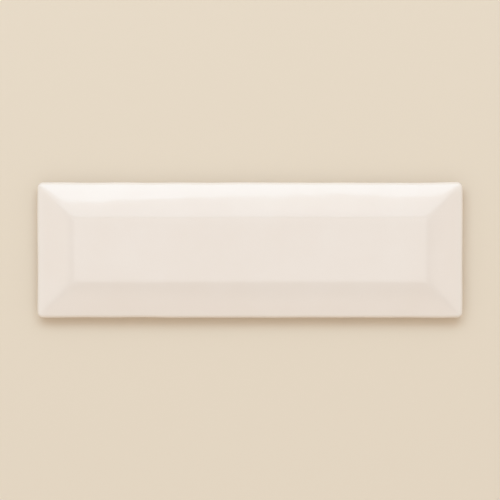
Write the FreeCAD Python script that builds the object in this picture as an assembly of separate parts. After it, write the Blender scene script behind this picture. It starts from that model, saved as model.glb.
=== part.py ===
"""A bevelled subway wall tile, dry-pressed and fired as one piece, lying on its back.

Frame, in millimetres: the origin is the middle of the back, on the rib crests. +X runs along the
tile, +Y points up when the tile is hung, and +Z leaves through the glazed face.

The face is a flat field inside four sloping bevels, which meet on mitred hips. The glaze leaves
the hips and the creases round the field soft. Round the bevels the tile ends in a rounded arris
and an upright band, and below the band the edge leans in.
The back carries a raised lattice of keying ribs, which a bed of adhesive grips.
"""

import FreeCAD, Part
import math
import os

# Face: nominally 6 in by 2 in, made 1/8 in less each way
FACE_LENGTH = 149.2
FACE_HEIGHT = 47.6
CORNER_RADIUS = 2.0

# Bevels round the flat field
BEVEL_WIDTH = 12.7
BEVEL_RISE = 3.5
FACE_EDGE_RADIUS = 10.0
ARRIS_RADIUS = 1.6

# Edge from the rib crests up to the arris
EDGE_THICKNESS = 4.5
BAND_HEIGHT = 2.2
EDGE_LEAN = 0.35
BACK_CHAMFER = 0.25

# Keying ribs on the back
RIB_HEIGHT = 0.7
RIB_WIDTH = 1.8
RIB_DRAFT_DEGREES = 20
RIB_PITCH = 11.5
RIB_MARGIN = 4.0
CELL_CORNER_RADIUS = 1.0

# Worked out
FIELD_Z = EDGE_THICKNESS + BEVEL_RISE
BEVEL_RUN = BEVEL_WIDTH / BEVEL_RISE
PLACE_TOLERANCE = 1e-4


def edges_between(shape, low_z, high_z):
    """The edges of shape whose ends both lie between two heights."""
    return [
        edge
        for edge in shape.Edges
        if all(
            low_z - PLACE_TOLERANCE < vertex.Z < high_z + PLACE_TOLERANCE
            for vertex in edge.Vertexes
        )
    ]


def climbing_edges(shape):
    """The edges of shape that don't lie level."""
    return [edge for edge in shape.Edges if edge.BoundBox.ZLength > PLACE_TOLERANCE]


def sloped_block(length, height, spread, low_z, high_z):
    """A block from low_z to high_z that would measure length by height at z = 0.

    Each side moves out by spread for each millimetre that it climbs.
    """
    low_x = length / 2 + spread * low_z
    low_y = height / 2 + spread * low_z
    high_x = length / 2 + spread * high_z
    high_y = height / 2 + spread * high_z
    block = Part.makeWedge(
        -low_x, low_z, -low_y, -high_y, -high_x, low_x, high_z, low_y, high_y, high_x
    )
    block.rotate(FreeCAD.Vector(), FreeCAD.Vector(1, 0, 0), 90)
    return block


def blank():
    """The full outline from the back plate to the field, with the lower edge leaning in."""
    corner = FreeCAD.Vector(-FACE_LENGTH / 2, -FACE_HEIGHT / 2, RIB_HEIGHT)
    block = Part.makeBox(FACE_LENGTH, FACE_HEIGHT, FIELD_Z - RIB_HEIGHT, corner)
    block = block.makeFillet(CORNER_RADIUS, climbing_edges(block))
    lean_height = EDGE_THICKNESS - BAND_HEIGHT - RIB_HEIGHT
    block = block.makeChamfer(
        lean_height, EDGE_LEAN, edges_between(block, RIB_HEIGHT, RIB_HEIGHT)
    )
    return block.makeChamfer(
        BACK_CHAMFER, edges_between(block, RIB_HEIGHT, RIB_HEIGHT)
    )


def bevelled_roof():
    """A pyramid cut off at the field, whose slopes run on past the outline as the bevels."""
    overrun = 2 * BEVEL_RUN * EDGE_THICKNESS
    roof = sloped_block(
        FACE_LENGTH + overrun, FACE_HEIGHT + overrun, -BEVEL_RUN, 0, FIELD_Z
    )
    hips_and_creases = climbing_edges(roof) + edges_between(roof, FIELD_Z, FIELD_Z)
    return roof.makeFillet(FACE_EDGE_RADIUS, hips_and_creases)


def pressed_body():
    """The blank with its bevelled face and a rounded arris between the bevels and the edge."""
    body = blank().common(bevelled_roof()).removeSplitter()
    mid_band = EDGE_THICKNESS - BAND_HEIGHT / 2
    mid_bevel = EDGE_THICKNESS + BEVEL_RISE / 2
    return body.makeFillet(ARRIS_RADIUS, edges_between(body, mid_band, mid_bevel))


def keyed_back(body):
    """Adds the raised block that the ribs are left from, and sinks the cells between them.

    The number of columns is even, so that a rib crosses the middle of the back. The block's own
    corners stay square, so the tile lies on a plain rectangle.
    """
    draft = math.tan(math.radians(RIB_DRAFT_DEGREES))
    length = FACE_LENGTH - 2 * RIB_MARGIN
    height = FACE_HEIGHT - 2 * RIB_MARGIN
    raised = sloped_block(length, height, draft, 0, 2 * RIB_HEIGHT)

    columns = 2 * max(1, round((length - RIB_WIDTH) / RIB_PITCH / 2))
    rows = max(1, round((height - RIB_WIDTH) / RIB_PITCH))
    pitch_x = (length - RIB_WIDTH) / columns
    pitch_y = (height - RIB_WIDTH) / rows
    cell = sloped_block(
        pitch_x - RIB_WIDTH, pitch_y - RIB_WIDTH, -draft, -RIB_HEIGHT, RIB_HEIGHT
    )
    cell = cell.makeFillet(CELL_CORNER_RADIUS, climbing_edges(cell))
    cells = []
    for column in range(columns):
        for row in range(rows):
            x = (column + 0.5 - columns / 2) * pitch_x
            y = (row + 0.5 - rows / 2) * pitch_y
            cells.append(cell.translated(FreeCAD.Vector(x, y, 0)))
    return body.fuse(raised).cut(cells)


def wall_tile():
    """The whole tile as one clean solid."""
    tile = keyed_back(pressed_body()).removeSplitter()
    return tile.Solids[0]


tile = wall_tile()
os.makedirs("parts", exist_ok=True)
tile.exportStep("parts/wall_tile.step")
print("valid", tile.isValid(), "volume in mm3", round(tile.Volume, 1))
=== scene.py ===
import math

import bpy
import numpy as np
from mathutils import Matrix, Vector


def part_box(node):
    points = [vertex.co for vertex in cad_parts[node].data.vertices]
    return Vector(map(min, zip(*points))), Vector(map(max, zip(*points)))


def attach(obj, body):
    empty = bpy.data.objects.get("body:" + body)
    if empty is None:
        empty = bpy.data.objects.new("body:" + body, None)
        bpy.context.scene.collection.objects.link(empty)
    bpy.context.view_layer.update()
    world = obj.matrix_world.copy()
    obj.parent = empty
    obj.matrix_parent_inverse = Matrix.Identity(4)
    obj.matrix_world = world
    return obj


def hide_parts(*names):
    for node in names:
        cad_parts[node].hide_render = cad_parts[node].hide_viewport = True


# The looks of a bevelled wall tile: one fired piece with a glossy cream glaze on its face and the
# top of its edge, and a bare pressed body below and behind. Sizes are in metres, in the frame's
# axes: X along the tile, Y towards its upper edge, Z out through the face.

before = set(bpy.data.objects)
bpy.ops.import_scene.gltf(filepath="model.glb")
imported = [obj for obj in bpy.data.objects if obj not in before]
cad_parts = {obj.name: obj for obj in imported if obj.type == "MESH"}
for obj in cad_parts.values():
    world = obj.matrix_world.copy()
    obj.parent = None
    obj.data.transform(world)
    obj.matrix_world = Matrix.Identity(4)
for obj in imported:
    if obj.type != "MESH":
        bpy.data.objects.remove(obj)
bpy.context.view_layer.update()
NODE = "wall_tile"
HALF_X, HALF_Y, FIELD_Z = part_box(NODE)[1]
MM = 0.001

# Sizes of the tile that its box doesn't give
CORNER_RADIUS = 2.0 * MM
BEVEL_WIDTH = 12.7 * MM
BEVEL_RISE = 3.5 * MM
BEVEL_SLOPE = BEVEL_RISE / BEVEL_WIDTH
ARRIS_RADIUS = 1.6 * MM
BAND_HEIGHT = 2.2 * MM
EDGE_LEAN = 0.35 * MM
BACK_CHAMFER = 0.25 * MM
EDGE_Z = FIELD_Z - BEVEL_RISE
BAND_Z = EDGE_Z - BAND_HEIGHT

# Keying ribs
RIB_HEIGHT = 0.7 * MM
RIB_WIDTH = 1.8 * MM
RIB_MARGIN = 4.0 * MM
RIB_DRAFT_DEGREES = 20
RIB_WALL_RUN = RIB_HEIGHT * math.tan(math.radians(RIB_DRAFT_DEGREES))
CELL_COLUMNS = 12
CELL_ROWS = 3
CELL_CORNER_RADIUS = 1.0 * MM

# How softly the glaze turns at the creases and hips
CREASE_SOFTNESS = 0.6 * MM
HIP_SOFTNESS = 0.9 * MM

# How the bevels swell: the share that their slope gains at the edge and loses at the crease, and
# the roll over the last few millimetres before the arris
BEVEL_SWELL = 0.14
ROLL_DROP = 0.22 * MM
ROLL_LENGTH = 1.3 * MM

# Where adding up the slopes starts, a little outside the outline, and in how many steps
PROFILE_START = -1.5 * MM
PROFILE_STEPS = 3000

# A relief of waves: how many there are, and the span of their lengths as shares of a given one
WAVE_COUNT = 12
WAVE_SPAN = (0.7, 1.6)

# How the face and the outline wander from true, the bevels most of all along their middle: the
# height of the waves, their length and the seed that sets them
SWELL_WANDER = 0.055 * MM
SWELL_WANDER_LENGTH = 90 * MM
SWELL_WANDER_SEED = 42
WARP = 0.055 * MM
WARP_LENGTH = 70 * MM
WARP_SEED = 10
RIPPLE = 0.008 * MM
RIPPLE_LENGTH = 14 * MM
RIPPLE_SEED = 5
OUTLINE_WANDER = 0.06 * MM
OUTLINE_LENGTH = 22 * MM
END_SEED = 17
SIDE_SEED = 19

# Powers that let the outline's wander die away inwards from the ends and from the long sides
END_FADE_POWER = 30
SIDE_FADE_POWER = 4

# Where the glaze ends on the edge, and how far below that line the bare body's rings start
GLAZE_THICKNESS = 0.12 * MM
GLAZE_LINE_Z = 2.55 * MM
GLAZE_LINE_WANDER = 0.07 * MM
GLAZE_LINE_LENGTH = 11 * MM
GLAZE_LINE_SEED = 11
BARE_DROP = 0.10 * MM

# The steps in which the glaze ends: the share of its thickness that the edge has gone in, the
# height over the glaze line in millimetres, and the share of the line's wander that it follows
GLAZE_LIP = ((0, 0.34, 0.4), (0, 0.20, 0.8), (0, 0.09, 1), (0.25, 0.03, 1), (1, 0, 1))

# The mesh: grids on the field and the back, joined by rings that share their corner steps. The
# rings lie closer over the crease, within CREASE_ZONE of it, and over the roll, which ends just
# before the arris starts.
CREASE_ZONE = 3.0 * MM
ROLL_START = 4.0 * MM
ROLL_END = 1.2 * MM
FIELD_INSET = BEVEL_WIDTH + CREASE_ZONE
LATTICE_CLEARANCE = 0.1 * MM
LATTICE_INSET = RIB_MARGIN - RIB_WALL_RUN - LATTICE_CLEARANCE
CREASE_RINGS = 18
BEVEL_RINGS = 9
ROLL_RINGS = 9
ARRIS_RINGS = 14
ARRIS_TRIES = 20
MARGIN_RINGS = 4

# Lines along the bends of a rib's wall, by how far across it they lie
WALL_BENDS = np.linspace(0, RIB_WALL_RUN, 3)

# The steps near each corner, from the edge in: even on the face, and over the lattice's outer
# wall and on across its rib on the back
CORNER_ZONE = 2.0 * MM
PAST_OUTER_WALL = np.linspace(0.5 * MM, CORNER_ZONE, 4)
LATTICE_ZONE = np.concatenate([[0], LATTICE_CLEARANCE + WALL_BENDS, PAST_OUTER_WALL])
FACE_ZONE = np.linspace(0, CORNER_ZONE, len(LATTICE_ZONE))

# The steps from a cell's rim in, over its wall and on along its floor, after one back on the rib.
# Across each cell run these from both sides, a line along its middle and one along a rib.
ON_CREST = -0.15 * MM
PAST_CELL_WALL = np.array([0.4, 1.4, 3.0]) * MM
CELL_BENDS = np.concatenate([[ON_CREST], WALL_BENDS, PAST_CELL_WALL])
LINES_PER_CELL = 2 * len(CELL_BENDS) + 2

# How many quads a grid has each way, and how many points it and a ring have
COLUMNS = LINES_PER_CELL * CELL_COLUMNS + 2 * (len(FACE_ZONE) - 1)
ROWS = LINES_PER_CELL * CELL_ROWS + 2 * (len(FACE_ZONE) - 1)
GRID_SIZE = (COLUMNS + 1) * (ROWS + 1)
RING_SIZE = 2 * (COLUMNS + ROWS)

# The radius that stands for a sharp corner
SHARP = 1e-9

# Colours, linear
GLAZE_PALE = (0.844, 0.741, 0.661, 1)
GLAZE_WARM = (0.832, 0.723, 0.639, 1)
GLAZE_THIN = (0.850, 0.765, 0.685, 1)
# The pinholes' colour is painted shade for pits that the mesh doesn't have
PINHOLE_SHADE = (0.300, 0.220, 0.160, 1)
BODY_PALE = (0.780, 0.705, 0.610, 1)
BODY_DARK = (0.665, 0.565, 0.460, 1)
KILN_WASH = (0.840, 0.820, 0.780, 1)
FLOOR = (0.775, 0.655, 0.520, 1)
ROOM_OVERHEAD = (0.202, 0.194, 0.183, 1)
ROOM_WALLS = (0.862, 0.812, 0.742, 1)
HORIZON = (0.745, 0.655, 0.535, 1)

# The glaze: the sizes of its mottle, its patches of gloss and its orange-peel, and how far it has
# thinned towards the arris when the paler colour starts to show
MOTTLE_SIZE = 16 * MM
GLOSS_SIZE = 7 * MM
GLAZE_ROUGHNESS = (0.05, 0.09)
GLAZE_IOR = 1.52
PEEL_SIZE = 2.2 * MM
PEEL_DEPTH = 0.003 * MM
THIN_GLAZE_START = 0.1

# Pinholes, drawn only as painted shade, since the mesh has no pits: their spacing, the rim and
# the core of each as shares of it, and how much of the painted shade shows. One opens only where a
# random number from 0 to 1 passes the step.
PINHOLE_SPACING = 9 * MM
PINHOLE_RIM = 0.028
PINHOLE_CORE = 0.014
PINHOLE_SHADE_SHARE = 0.5
PINHOLE_STEP = (0.82, 0.83)

# The bare body: its tone, its grain, whose peaks show darker, and the scoring up its edge, which
# is drawn out in height
TONE_SIZE = 5 * MM
BODY_ROUGHNESS = 0.85
GRAIN_SIZE = 0.35 * MM
GRAIN_DEPTH = 0.04 * MM
GRAIN_SPAN = (0.62, 0.75)
GRAIN_SHARE = 0.45
SCORING_SIZE = 0.4 * MM
SCORING_DEPTH = 0.03 * MM
SCORING_SQUEEZE = 0.08

# The kiln wash: its patches, the least and the most of it that shows, and the heights over the
# rib crests between which it fades out
WASH_SIZE = 3.5 * MM
WASH_SPAN = (0.42, 0.58)
WASH_SHARES = (0.1, 0.9)
WASH_FADE = (0.02 * MM, 0.2 * MM)

# Noise lies mostly within this span
NOISE_SPAN = (0.3, 0.7)

# The floor: how far it reaches, how far it lies under the ribs, and how far from the tile it
# starts to fade into the room's horizon and is gone
FLOOR_REACH = 3.0
FLOOR_DROP = 0.02 * MM
FLOOR_ROUGHNESS = 0.9
FADE_START = 0.45
FADE_END = 1.5

# How far the soft lamps stand from the tile, and how wide the ones that lean up or down are
SOFTBOX_DISTANCE = 1.5
SOFTBOX_WIDTH = 2.0

# Each lamp's lean in degrees towards +X and +Y, its depth, its radiance and its tint
SOFTBOXES = {
    "window": (-4, 41, 1.15, 1.00, (0.85, 1.0, 1.18)),
    "window_core": (-6, 42.3, 0.50, 1.6, (0.68, 1.03, 1.33)),
    "overhead": (0, 0, 0.80, 0.68, (1.0, 1.0, 1.0)),
    "fill_from_below": (0, -47, 0.84, 0.22, (1.04, 1.0, 0.93)),
}

# The room's colours between the horizon and straight overhead, by degrees from overhead
ROOM_STOPS = ((65, ROOM_WALLS), (35, ROOM_WALLS), (26, ROOM_OVERHEAD))

# The camera: the width that it shows at the height of the edge, its lens and its sensor
FRAME_WIDTH = 175 * MM
LENS_MM = 135
SENSOR_MM = 36


def waves(x, y, length, seed):
    """Smooth random relief about zero, mostly within two units, the same on every run."""
    random = np.random.default_rng(seed)
    relief = np.zeros_like(x)
    for _ in range(WAVE_COUNT):
        heading, phase = random.uniform(0, 2 * math.pi, 2)
        wave_number = 2 * math.pi / (length * random.uniform(*WAVE_SPAN))
        along = x * math.cos(heading) + y * math.sin(heading)
        relief += np.cos(wave_number * along + phase)
    return relief / math.sqrt(WAVE_COUNT / 2)


def smooth_step(value, low, high):
    """Eases from 0 at low to 1 at high."""
    share = np.clip((value - low) / (high - low), 0, 1)
    return share * share * (3 - 2 * share)


def slope_at(inset):
    """The slope of the face at a distance in from its outline, soft at the crease."""
    on_bevel = 1 / (1 + np.exp((inset - BEVEL_WIDTH) / CREASE_SOFTNESS))
    swell = 1 + BEVEL_SWELL * (1 - 2 * inset / BEVEL_WIDTH)
    roll = ROLL_DROP / ROLL_LENGTH * np.exp(-inset / ROLL_LENGTH)
    return BEVEL_SLOPE * swell * on_bevel + roll


def height_at(inset):
    """The height of the face at a distance in from its outline: the slopes added up."""
    steps = np.linspace(PROFILE_START, HALF_Y, PROFILE_STEPS)
    slopes = slope_at(steps)
    rises = (slopes[1:] + slopes[:-1]) / 2 * np.diff(steps)
    heights = np.concatenate([[0], np.cumsum(rises)])
    return FIELD_Z + np.interp(inset, steps, heights - heights[-1])


def face_height(x, y):
    """The glazed face before its arris is rounded: field, creases, bevels and hips."""
    from_end = (HALF_X - np.abs(x)) / HIP_SOFTNESS
    from_side = (HALF_Y - np.abs(y)) / HIP_SOFTNESS
    inset = -HIP_SOFTNESS * np.logaddexp(-from_end, -from_side)
    mid_bevel = np.sin(math.pi * np.clip(inset / BEVEL_WIDTH, 0, 1)) ** 2
    swell = SWELL_WANDER * mid_bevel * waves(x, y, SWELL_WANDER_LENGTH, SWELL_WANDER_SEED)
    warp = WARP * waves(x, y, WARP_LENGTH, WARP_SEED)
    ripple = RIPPLE * waves(x, y, RIPPLE_LENGTH, RIPPLE_SEED)
    return height_at(inset) + swell + warp + ripple


def inside_rectangle(x, y, half_x, half_y, radius):
    """How far each point lies inside a rounded rectangle, negative outside it."""
    over_x = np.abs(x) - (half_x - radius)
    over_y = np.abs(y) - (half_y - radius)
    beyond = np.hypot(np.maximum(over_x, 0), np.maximum(over_y, 0))
    return radius - beyond - np.minimum(np.maximum(over_x, over_y), 0)


def back_height(x, y):
    """The back: a plate that the lattice stands down from, with the cells sunk into the lattice."""
    lattice_x = HALF_X - RIB_MARGIN
    lattice_y = HALF_Y - RIB_MARGIN
    pitch_x = (2 * lattice_x - RIB_WIDTH) / CELL_COLUMNS
    pitch_y = (2 * lattice_y - RIB_WIDTH) / CELL_ROWS
    cell_x = (x / pitch_x + CELL_COLUMNS / 2) % 1 - 0.5
    cell_y = (y / pitch_y + CELL_ROWS / 2) % 1 - 0.5
    in_cell = inside_rectangle(
        cell_x * pitch_x,
        cell_y * pitch_y,
        (pitch_x - RIB_WIDTH) / 2,
        (pitch_y - RIB_WIDTH) / 2,
        CELL_CORNER_RADIUS,
    )
    in_lattice = inside_rectangle(x, y, lattice_x, lattice_y, 0)
    sunk = smooth_step(in_cell, 0, RIB_WALL_RUN)
    outside = smooth_step(-in_lattice, 0, RIB_WALL_RUN)
    return RIB_HEIGHT * np.maximum(sunk * (in_lattice > RIB_WIDTH / 2), outside)


def cell_lines(half, count):
    """Lines across the lattice: along the middle of each rib, and where each cell's wall bends."""
    lattice = 2 * (half - RIB_MARGIN)
    pitch = (lattice - RIB_WIDTH) / count
    bends = (pitch - RIB_WIDTH) / 2 - CELL_BENDS
    middles = (np.arange(count) + 0.5 - count / 2) * pitch
    ribs = (np.arange(1, count) - count / 2) * pitch
    offsets = np.concatenate([-bends, [0], bends])
    return np.sort(np.concatenate([(middles[:, None] + offsets).ravel(), ribs]))


def lines_across(half, inset, count, backness):
    """Coordinates across the tile at an inset: even on the face, along the cells on the back."""
    even = np.linspace(-1, 1, LINES_PER_CELL * count + 1)[1:-1]
    keyed = cell_lines(half, count) / (half - LATTICE_INSET - CORNER_ZONE)
    inner = even + (keyed - even) * backness
    near_corner = FACE_ZONE + (LATTICE_ZONE - FACE_ZONE) * backness
    edge = half - inset
    ends = edge - near_corner[::-1]
    return np.concatenate([-ends[::-1], inner * (edge - CORNER_ZONE), ends])


def around(lines_x, lines_y):
    """The points round a grid's border, anticlockwise seen from the face."""
    low_x, high_x = lines_x[0], lines_x[-1]
    low_y, high_y = lines_y[0], lines_y[-1]
    bottom = [(x, low_y) for x in lines_x[:-1]]
    right = [(high_x, y) for y in lines_y[:-1]]
    top = [(x, high_y) for x in lines_x[:0:-1]]
    left = [(low_x, y) for y in lines_y[:0:-1]]
    return np.array(bottom + right + top + left)


def round_corners(points, radius):
    """Bends the steps near each corner of a rectangular ring onto an arc."""
    radius = max(radius, SHARP)
    half = np.abs(points).max(axis=0)
    inset = half - np.abs(points)
    on_long_side = inset[:, 1] <= inset[:, 0]
    along = inset.max(axis=1)
    half_arc = radius * math.pi / 4
    path = along * (CORNER_ZONE - radius + half_arc) / CORNER_ZONE
    turn = np.clip(math.pi / 4 - path / radius, 0, None)
    on_arc = path < half_arc
    along_side = np.where(on_arc, radius * (1 - np.sin(turn)), radius + path - half_arc)
    along_side = np.where(along < CORNER_ZONE, along_side, along)
    from_side = radius * (1 - np.cos(turn))
    new_inset = np.where(
        on_long_side[:, None],
        np.column_stack([along_side, from_side]),
        np.column_stack([from_side, along_side]),
    )
    return np.sign(points) * (half - new_inset)


def ring(inset, backness):
    """The points of a ring. backness goes from 0, the face's steps, to 1, the back's."""
    points = around(
        lines_across(HALF_X, inset, CELL_COLUMNS, backness),
        lines_across(HALF_Y, inset, CELL_ROWS, backness),
    )
    return round_corners(points, CORNER_RADIUS - inset)


def steps_between(start, end, count):
    """Even steps from start to end, without the start itself."""
    return np.linspace(start, end, count + 1)[1:]


def arris_tilt():
    """The tilt of the face where the arris touches it, which settles within a few tries."""
    tilt = math.atan(BEVEL_SLOPE)
    for _ in range(ARRIS_TRIES):
        tilt = math.atan(slope_at(ARRIS_RADIUS * (1 - math.sin(tilt))))
    return tilt


def face_rings():
    """Rings from the field out over the crease, the bevel and the arris, each with its inset."""
    crease = steps_between(FIELD_INSET, BEVEL_WIDTH - CREASE_ZONE, CREASE_RINGS)
    bevel = steps_between(BEVEL_WIDTH - CREASE_ZONE, ROLL_START, BEVEL_RINGS)
    roll = steps_between(ROLL_START, ROLL_END, ROLL_RINGS)
    rings = []
    for inset in np.concatenate([crease, bevel, roll]):
        x, y = ring(inset, 0).T
        rings.append((np.column_stack([x, y, face_height(x, y)]), inset))
    tilt = arris_tilt()
    tangent_z = height_at(ARRIS_RADIUS * (1 - math.sin(tilt)))
    centre_z = tangent_z - ARRIS_RADIUS * math.cos(tilt)
    for angle in np.linspace(tilt, math.pi / 2, ARRIS_RINGS):
        inset = ARRIS_RADIUS * (1 - math.sin(angle))
        drop = height_at(inset) - centre_z - ARRIS_RADIUS * math.cos(angle)
        x, y = ring(inset, 0).T
        rings.append((np.column_stack([x, y, face_height(x, y) - drop]), inset))
    return rings


def edge_ring(inset, height, line_share=0, backness=1):
    """A ring round the edge. line_share is how far it follows the wandering end of the glaze."""
    x, y = ring(inset, backness).T
    line = GLAZE_LINE_WANDER * waves(x, y, GLAZE_LINE_LENGTH, GLAZE_LINE_SEED)
    return np.column_stack([x, y, height + line_share * line])


def glazed_edge_rings():
    """From under the arris to the end of the glaze, which stands a little proud of the body.

    From here down to the back, the points move step by step to where the back needs them.
    """
    return [
        edge_ring(depth * GLAZE_THICKNESS, GLAZE_LINE_Z + rise * MM, share, backness=0.1 * step)
        for step, (depth, rise, share) in enumerate(GLAZE_LIP)
    ]


def bare_edge_rings():
    """From the end of the glaze down the leaning edge and over the chamfer to the back plate."""
    bare = GLAZE_THICKNESS
    lean_z = RIB_HEIGHT + BACK_CHAMFER
    lean = EDGE_LEAN * (BAND_Z - lean_z) / (BAND_Z - RIB_HEIGHT)
    return [
        edge_ring(bare, GLAZE_LINE_Z - BARE_DROP, line_share=0.8, backness=0.5),
        edge_ring(bare, BAND_Z, backness=0.7),
        edge_ring(bare + lean / 2, (BAND_Z + lean_z) / 2, backness=0.8),
        edge_ring(bare + lean, lean_z, backness=0.9),
        edge_ring(bare + lean + BACK_CHAMFER, RIB_HEIGHT),
    ]


def margin_rings():
    """The plain back plate round the lattice."""
    first = GLAZE_THICKNESS + EDGE_LEAN + BACK_CHAMFER
    return [
        edge_ring(inset, RIB_HEIGHT)
        for inset in np.linspace(first, LATTICE_INSET, MARGIN_RINGS + 2)[1:-1]
    ]


def grid(inset, backness, height):
    """The points of a grid inside an inset, row by row, lifted to height."""
    lines_x = lines_across(HALF_X, inset, CELL_COLUMNS, backness)
    lines_y = lines_across(HALF_Y, inset, CELL_ROWS, backness)
    x, y = (values.ravel() for values in np.meshgrid(lines_x, lines_y))
    return np.column_stack([x, y, height(x, y)])


def grid_indices(first):
    """A grid's quads, facing up, and its border in the order of around, by point numbers."""
    numbers = first + np.arange(GRID_SIZE).reshape(ROWS + 1, COLUMNS + 1)
    corners = (numbers[:-1, :-1], numbers[:-1, 1:], numbers[1:, 1:], numbers[1:, :-1])
    quads = np.stack(corners, axis=-1).reshape(-1, 4)
    border = (numbers[0, :-1], numbers[:-1, -1], numbers[-1, :0:-1], numbers[:0:-1, 0])
    return quads, np.concatenate(border)


def tile_quads(ring_count):
    """Quads over the field, then from ring to ring, then over the back, all facing outwards."""
    field_quads, loop = grid_indices(0)
    back_quads, back_border = grid_indices(GRID_SIZE)
    rings = 2 * GRID_SIZE + np.arange(ring_count * RING_SIZE).reshape(ring_count, RING_SIZE)
    quads = [field_quads]
    for following in [*rings, back_border]:
        band = (loop, following, np.roll(following, -1), np.roll(loop, -1))
        quads.append(np.stack(band, axis=-1))
        loop = following
    quads.append(back_quads[:, ::-1])
    return np.concatenate(quads)


def wander_outline(points):
    """Lets the edges wander in and out by up to about a tenth of a millimetre, as firing does."""
    x, y, _ = points.T
    near_end = np.abs(x / HALF_X) ** END_FADE_POWER
    near_side = np.abs(y / HALF_Y) ** SIDE_FADE_POWER
    out_x = waves(np.sign(x), y, OUTLINE_LENGTH, END_SEED) * OUTLINE_WANDER * near_end
    out_y = waves(x, np.sign(y), OUTLINE_LENGTH, SIDE_SEED) * OUTLINE_WANDER * near_side
    points[:, 0] += np.sign(x) * out_x
    points[:, 1] += np.sign(y) * out_y


def fit_in_box(points):
    """Scales the piece so that it fills the solid's box and stays inside it."""
    low, high = points.min(axis=0), points.max(axis=0)
    middle = (low + high) / 2
    share = np.array([2 * HALF_X, 2 * HALF_Y, FIELD_Z]) / (high - low)
    points[:] = (points - middle) * share + [0, 0, FIELD_Z / 2]


def new_object(name, points, faces):
    """A mesh object in the scene."""
    mesh = bpy.data.meshes.new(name)
    mesh.from_pydata(points.tolist(), [], faces.tolist())
    mesh.validate()
    made = bpy.data.objects.new(name, mesh)
    bpy.context.scene.collection.objects.link(made)
    return made


def set_point_values(mesh, name, values):
    """Keeps one number for each point of the mesh, for the materials to read."""
    attribute = mesh.attributes.new(name, "FLOAT", "POINT")
    attribute.data.foreach_set("value", np.ascontiguousarray(values, dtype=np.float32))


def make_tile():
    """The whole fired piece as one closed mesh of quads, with the glaze as its first material."""
    face = face_rings()
    glazed = [ring_points for ring_points, _ in face] + glazed_edge_rings()
    rings = glazed + bare_edge_rings() + margin_rings()
    field = grid(FIELD_INSET, 0, face_height)
    back = grid(LATTICE_INSET, 1, back_height)
    points = np.concatenate([field, back, *rings])
    wander_outline(points)
    fit_in_box(points)

    tile = new_object("glazed_tile", points, tile_quads(len(rings)))
    tile.data.shade_smooth()
    tile.data.materials.append(glaze_material())
    tile.data.materials.append(body_material())
    slots = np.ones(len(tile.data.polygons), dtype=np.int32)
    slots[:COLUMNS * ROWS + len(glazed) * RING_SIZE] = 0
    tile.data.polygons.foreach_set("material_index", slots)

    first_ring = 2 * GRID_SIZE
    insets = np.repeat([inset for _, inset in face], RING_SIZE)
    thin = np.zeros(len(points))
    thin[first_ring:first_ring + len(insets)] = np.exp(-insets / ARRIS_RADIUS)
    crest = 1 - smooth_step(points[:, 2], *WASH_FADE)
    set_point_values(tile.data, "thin_glaze", thin)
    set_point_values(tile.data, "rib_crest", crest)
    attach(tile, "root")
    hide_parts(NODE)


class Shader:
    """A material's node tree, with short ways to add what the materials here share."""

    def __init__(self, name):
        self.material = bpy.data.materials.new(name)
        self.material.use_nodes = True
        self.nodes = self.material.node_tree.nodes
        self.links = self.material.node_tree.links
        self.surface = self.nodes["Principled BSDF"]
        self.place = self.nodes.new("ShaderNodeTexCoord").outputs["Object"]

    def stretched(self, height_scale):
        """Places for a texture that is drawn out in height where height_scale is under 1."""
        mapping = self.nodes.new("ShaderNodeMapping")
        mapping.inputs["Scale"].default_value = (1, 1, height_scale)
        self.links.new(self.place, mapping.inputs["Vector"])
        return mapping.outputs["Vector"]

    def noise(self, size, detail=2.0, place=None):
        """Noise whose lumps are about size metres across."""
        texture = self.nodes.new("ShaderNodeTexNoise")
        texture.inputs["Scale"].default_value = 1 / size
        texture.inputs["Detail"].default_value = detail
        self.links.new(place or self.place, texture.inputs["Vector"])
        return texture.outputs["Fac"]

    def value(self, name):
        """A number that the mesh keeps for each point."""
        attribute = self.nodes.new("ShaderNodeAttribute")
        attribute.attribute_name = name
        return attribute.outputs["Fac"]

    def ramp(self, factor, low, high, start=0.0, end=1.0):
        """Spreads factor from low..high onto start..end."""
        spread = self.nodes.new("ShaderNodeMapRange")
        for socket, number in (
            ("From Min", low),
            ("From Max", high),
            ("To Min", start),
            ("To Max", end),
        ):
            spread.inputs[socket].default_value = number
        self.links.new(factor, spread.inputs["Value"])
        return spread.outputs["Result"]

    def mix(self, factor, first, second):
        """A colour from first to second. Each is a colour or another node's output."""
        blend = self.nodes.new("ShaderNodeMix")
        blend.data_type = "RGBA"
        self.links.new(factor, blend.inputs[0])
        for socket, colour in ((blend.inputs[6], first), (blend.inputs[7], second)):
            if isinstance(colour, tuple):
                socket.default_value = colour
            else:
                self.links.new(colour, socket)
        return blend.outputs[2]

    def product(self, first, second):
        """first times second. Each is a float or another node's output."""
        multiply = self.nodes.new("ShaderNodeMath")
        multiply.operation = "MULTIPLY"
        for socket, factor in zip(multiply.inputs, (first, second)):
            if isinstance(factor, float):
                socket.default_value = factor
            else:
                self.links.new(factor, socket)
        return multiply.outputs["Value"]

    def bump(self, height, depth, under=None):
        """Relief of depth metres from a height of 0 to 1, on top of the relief under it."""
        relief = self.nodes.new("ShaderNodeBump")
        relief.inputs["Distance"].default_value = depth
        self.links.new(height, relief.inputs["Height"])
        if under:
            self.links.new(under, relief.inputs["Normal"])
        return relief.outputs["Normal"]

    def connect(self, socket, output):
        """Links a node's output to the surface."""
        self.links.new(output, self.surface.inputs[socket])


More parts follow.
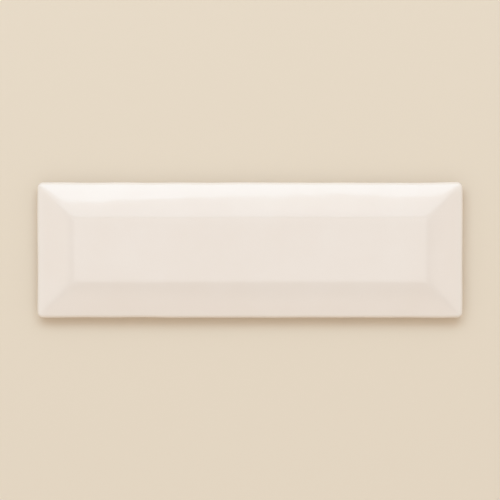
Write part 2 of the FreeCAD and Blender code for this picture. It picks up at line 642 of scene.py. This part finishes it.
def glaze_material():
    """Glossy cream glaze: faintly mottled, thinner and paler at the arris, with rare pinholes
    painted as dark specks of shade.
    """
    glaze = Shader("cream_glaze")
    mottle = glaze.ramp(glaze.noise(MOTTLE_SIZE, detail=3.0), *NOISE_SPAN)
    colour = glaze.mix(mottle, GLAZE_WARM, GLAZE_PALE)
    thin = glaze.ramp(glaze.value("thin_glaze"), THIN_GLAZE_START, 1.0)
    colour = glaze.mix(thin, colour, GLAZE_THIN)
    # Painted shade: rare dark specks stand in for the shade inside pinhole pits, which the mesh
    # doesn't have
    pinholes = glaze.nodes.new("ShaderNodeTexVoronoi")
    pinholes.inputs["Scale"].default_value = 1 / PINHOLE_SPACING
    glaze.links.new(glaze.place, pinholes.inputs["Vector"])
    near = glaze.ramp(pinholes.outputs["Distance"], PINHOLE_RIM, PINHOLE_CORE)
    chosen = glaze.ramp(pinholes.outputs["Color"], *PINHOLE_STEP)
    pit_shade = glaze.product(near, chosen)
    colour = glaze.mix(glaze.product(pit_shade, PINHOLE_SHADE_SHARE), colour, PINHOLE_SHADE)
    glaze.connect("Base Color", colour)
    gloss = glaze.ramp(glaze.noise(GLOSS_SIZE, detail=4.0), *NOISE_SPAN, *GLAZE_ROUGHNESS)
    glaze.connect("Roughness", gloss)
    glaze.connect("Normal", glaze.bump(glaze.noise(PEEL_SIZE), PEEL_DEPTH))
    glaze.surface.inputs["IOR"].default_value = GLAZE_IOR
    return glaze.material


def body_material():
    """Bare fired body: matt and grainy, scored by the press on its edge, with wash on the ribs."""
    body = Shader("fired_body")
    tone = body.ramp(body.noise(TONE_SIZE, detail=5.0), *NOISE_SPAN)
    grain = body.noise(GRAIN_SIZE, detail=3.0)
    colour = body.mix(tone, BODY_DARK, BODY_PALE)
    colour = body.mix(body.ramp(grain, *GRAIN_SPAN, 0.0, GRAIN_SHARE), colour, BODY_DARK)
    patchy = body.ramp(body.noise(WASH_SIZE, detail=4.0), *WASH_SPAN, *WASH_SHARES)
    colour = body.mix(body.product(body.value("rib_crest"), patchy), colour, KILN_WASH)
    body.connect("Base Color", colour)
    body.surface.inputs["Roughness"].default_value = BODY_ROUGHNESS
    scoring = body.noise(SCORING_SIZE, detail=3.0, place=body.stretched(SCORING_SQUEEZE))
    relief = body.bump(scoring, SCORING_DEPTH)
    body.connect("Normal", body.bump(grain, GRAIN_DEPTH, relief))
    return body.material


def make_floor():
    """A plain pale floor, just under the ribs so that it never cuts them.

    Far from the tile it fades out, so that it meets the horizon without a line.
    """
    corners = np.array([(-1, -1), (1, -1), (1, 1), (-1, 1)]) * FLOOR_REACH
    points = np.column_stack([corners, np.full(4, -FLOOR_DROP)])
    floor = new_object("stage_floor", points, np.array([[0, 1, 2, 3]]))
    paper = Shader("pale_floor")
    paper.surface.inputs["Base Color"].default_value = FLOOR
    paper.surface.inputs["Roughness"].default_value = FLOOR_ROUGHNESS
    from_tile = paper.nodes.new("ShaderNodeVectorMath")
    from_tile.operation = "LENGTH"
    paper.links.new(paper.place, from_tile.inputs[0])
    faded = paper.ramp(from_tile.outputs["Value"], FADE_START, FADE_END)
    faded.node.interpolation_type = "SMOOTHSTEP"
    clear = paper.nodes.new("ShaderNodeBsdfTransparent")
    blend = paper.nodes.new("ShaderNodeMixShader")
    paper.links.new(faded, blend.inputs[0])
    paper.links.new(paper.surface.outputs["BSDF"], blend.inputs[1])
    paper.links.new(clear.outputs["BSDF"], blend.inputs[2])
    paper.links.new(blend.outputs["Shader"], paper.nodes["Material Output"].inputs["Surface"])
    floor.data.materials.append(paper.material)


def softbox(name, degrees_right, degrees_up, depth, radiance, tint):
    """A soft lamp facing the tile, leaning towards +X and +Y from straight overhead."""
    lamp = bpy.data.lights.new(name, "AREA")
    lamp.shape = "RECTANGLE"
    lamp.size = SOFTBOX_WIDTH if degrees_up else depth
    lamp.size_y = depth
    lamp.energy = radiance * math.pi * lamp.size * lamp.size_y
    lamp.color = tint
    right = math.tan(math.radians(degrees_right))
    lean = math.radians(degrees_up)
    place = Vector((right, math.sin(lean), math.cos(lean))).normalized() * SOFTBOX_DISTANCE
    made = bpy.data.objects.new(name, lamp)
    made.location = place
    made.rotation_euler = place.to_track_quat("Z", "Y").to_euler()
    bpy.context.scene.collection.objects.link(made)


def make_light():
    """Soft cool light beyond the upper edge, which the upper bevel mirrors, in a pale warm room.

    The room is dim round the camera, pale up its walls, and of the floor's colour at the horizon.
    """
    for name, settings in SOFTBOXES.items():
        softbox(name, *settings)
    world = bpy.data.worlds.new("pale_room")
    world.use_nodes = True
    nodes = world.node_tree.nodes
    links = world.node_tree.links
    direction = nodes.new("ShaderNodeTexCoord").outputs["Generated"]
    split = nodes.new("ShaderNodeSeparateXYZ")
    links.new(direction, split.inputs["Vector"])
    room = nodes.new("ShaderNodeValToRGB")
    room.color_ramp.interpolation = "EASE"
    stops = room.color_ramp.elements
    stops[0].color = HORIZON
    stops[1].color = ROOM_OVERHEAD
    for degrees_down, colour in ROOM_STOPS:
        stops.new(math.cos(math.radians(degrees_down))).color = colour
    links.new(split.outputs["Z"], room.inputs["Fac"])
    links.new(room.outputs["Color"], nodes["Background"].inputs["Color"])
    bpy.context.scene.world = world


def make_camera():
    """Straight down on the face, which the photograph looks at straight on."""
    camera = bpy.data.cameras.new("camera")
    camera.lens = LENS_MM
    camera.sensor_width = SENSOR_MM
    made = bpy.data.objects.new("camera", camera)
    made.location = (0, 0, EDGE_Z + FRAME_WIDTH * LENS_MM / SENSOR_MM)
    bpy.context.scene.collection.objects.link(made)
    bpy.context.scene.camera = made


make_tile()
make_floor()
make_light()
make_camera()
bpy.context.scene.view_settings.view_transform = "Standard"
